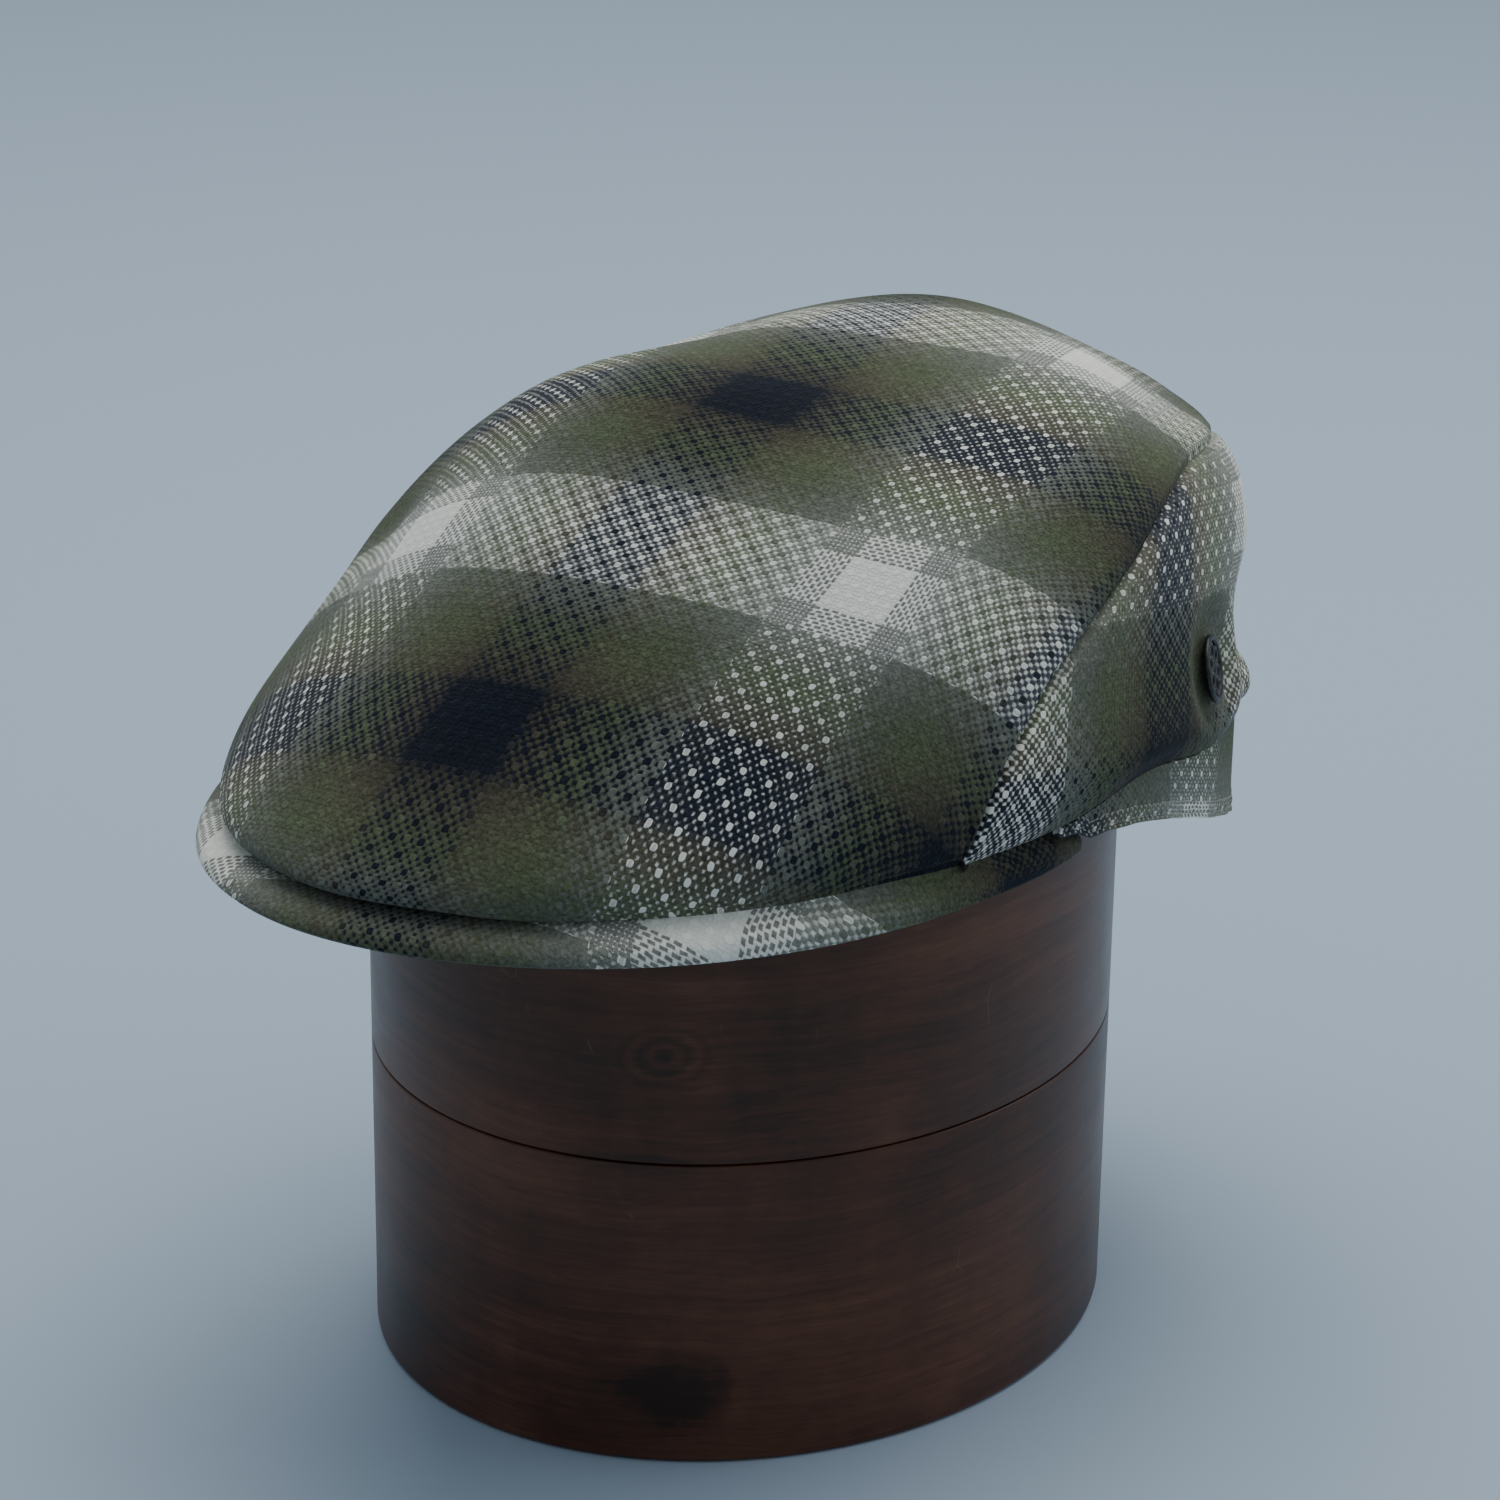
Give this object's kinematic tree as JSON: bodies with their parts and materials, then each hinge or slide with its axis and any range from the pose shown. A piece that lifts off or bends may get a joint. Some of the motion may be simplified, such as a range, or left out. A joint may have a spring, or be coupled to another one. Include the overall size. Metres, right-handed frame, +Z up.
{
  "type": "flat cap on a wooden hat block",
  "caption": "Plaid wool flat cap in green, grey and white with a round dark metal pin, shown on a plain dark wooden hat block.",
  "frame": {"origin": "on the floor, under the middle of the whole outline", "axes": "+X to the wearer's left, +Y to the back of the cap, +Z up; the visor points along -Y"},
  "size_m": [0.1804, 0.2729, 0.2336],
  "materials": {
    "plaid_wool": "matte",
    "dark_metal": "satin",
    "varnished_wood": "satin"
  },
  "bodies": {
    "root": {"top_panel": "plaid_wool", "side_panel_left": "plaid_wool", "side_panel_right": "plaid_wool", "back_band": "plaid_wool", "visor": "plaid_wool", "pin_badge": "dark_metal", "block_upper": "varnished_wood", "block_lower": "varnished_wood"}
  },
  "joints": []
}
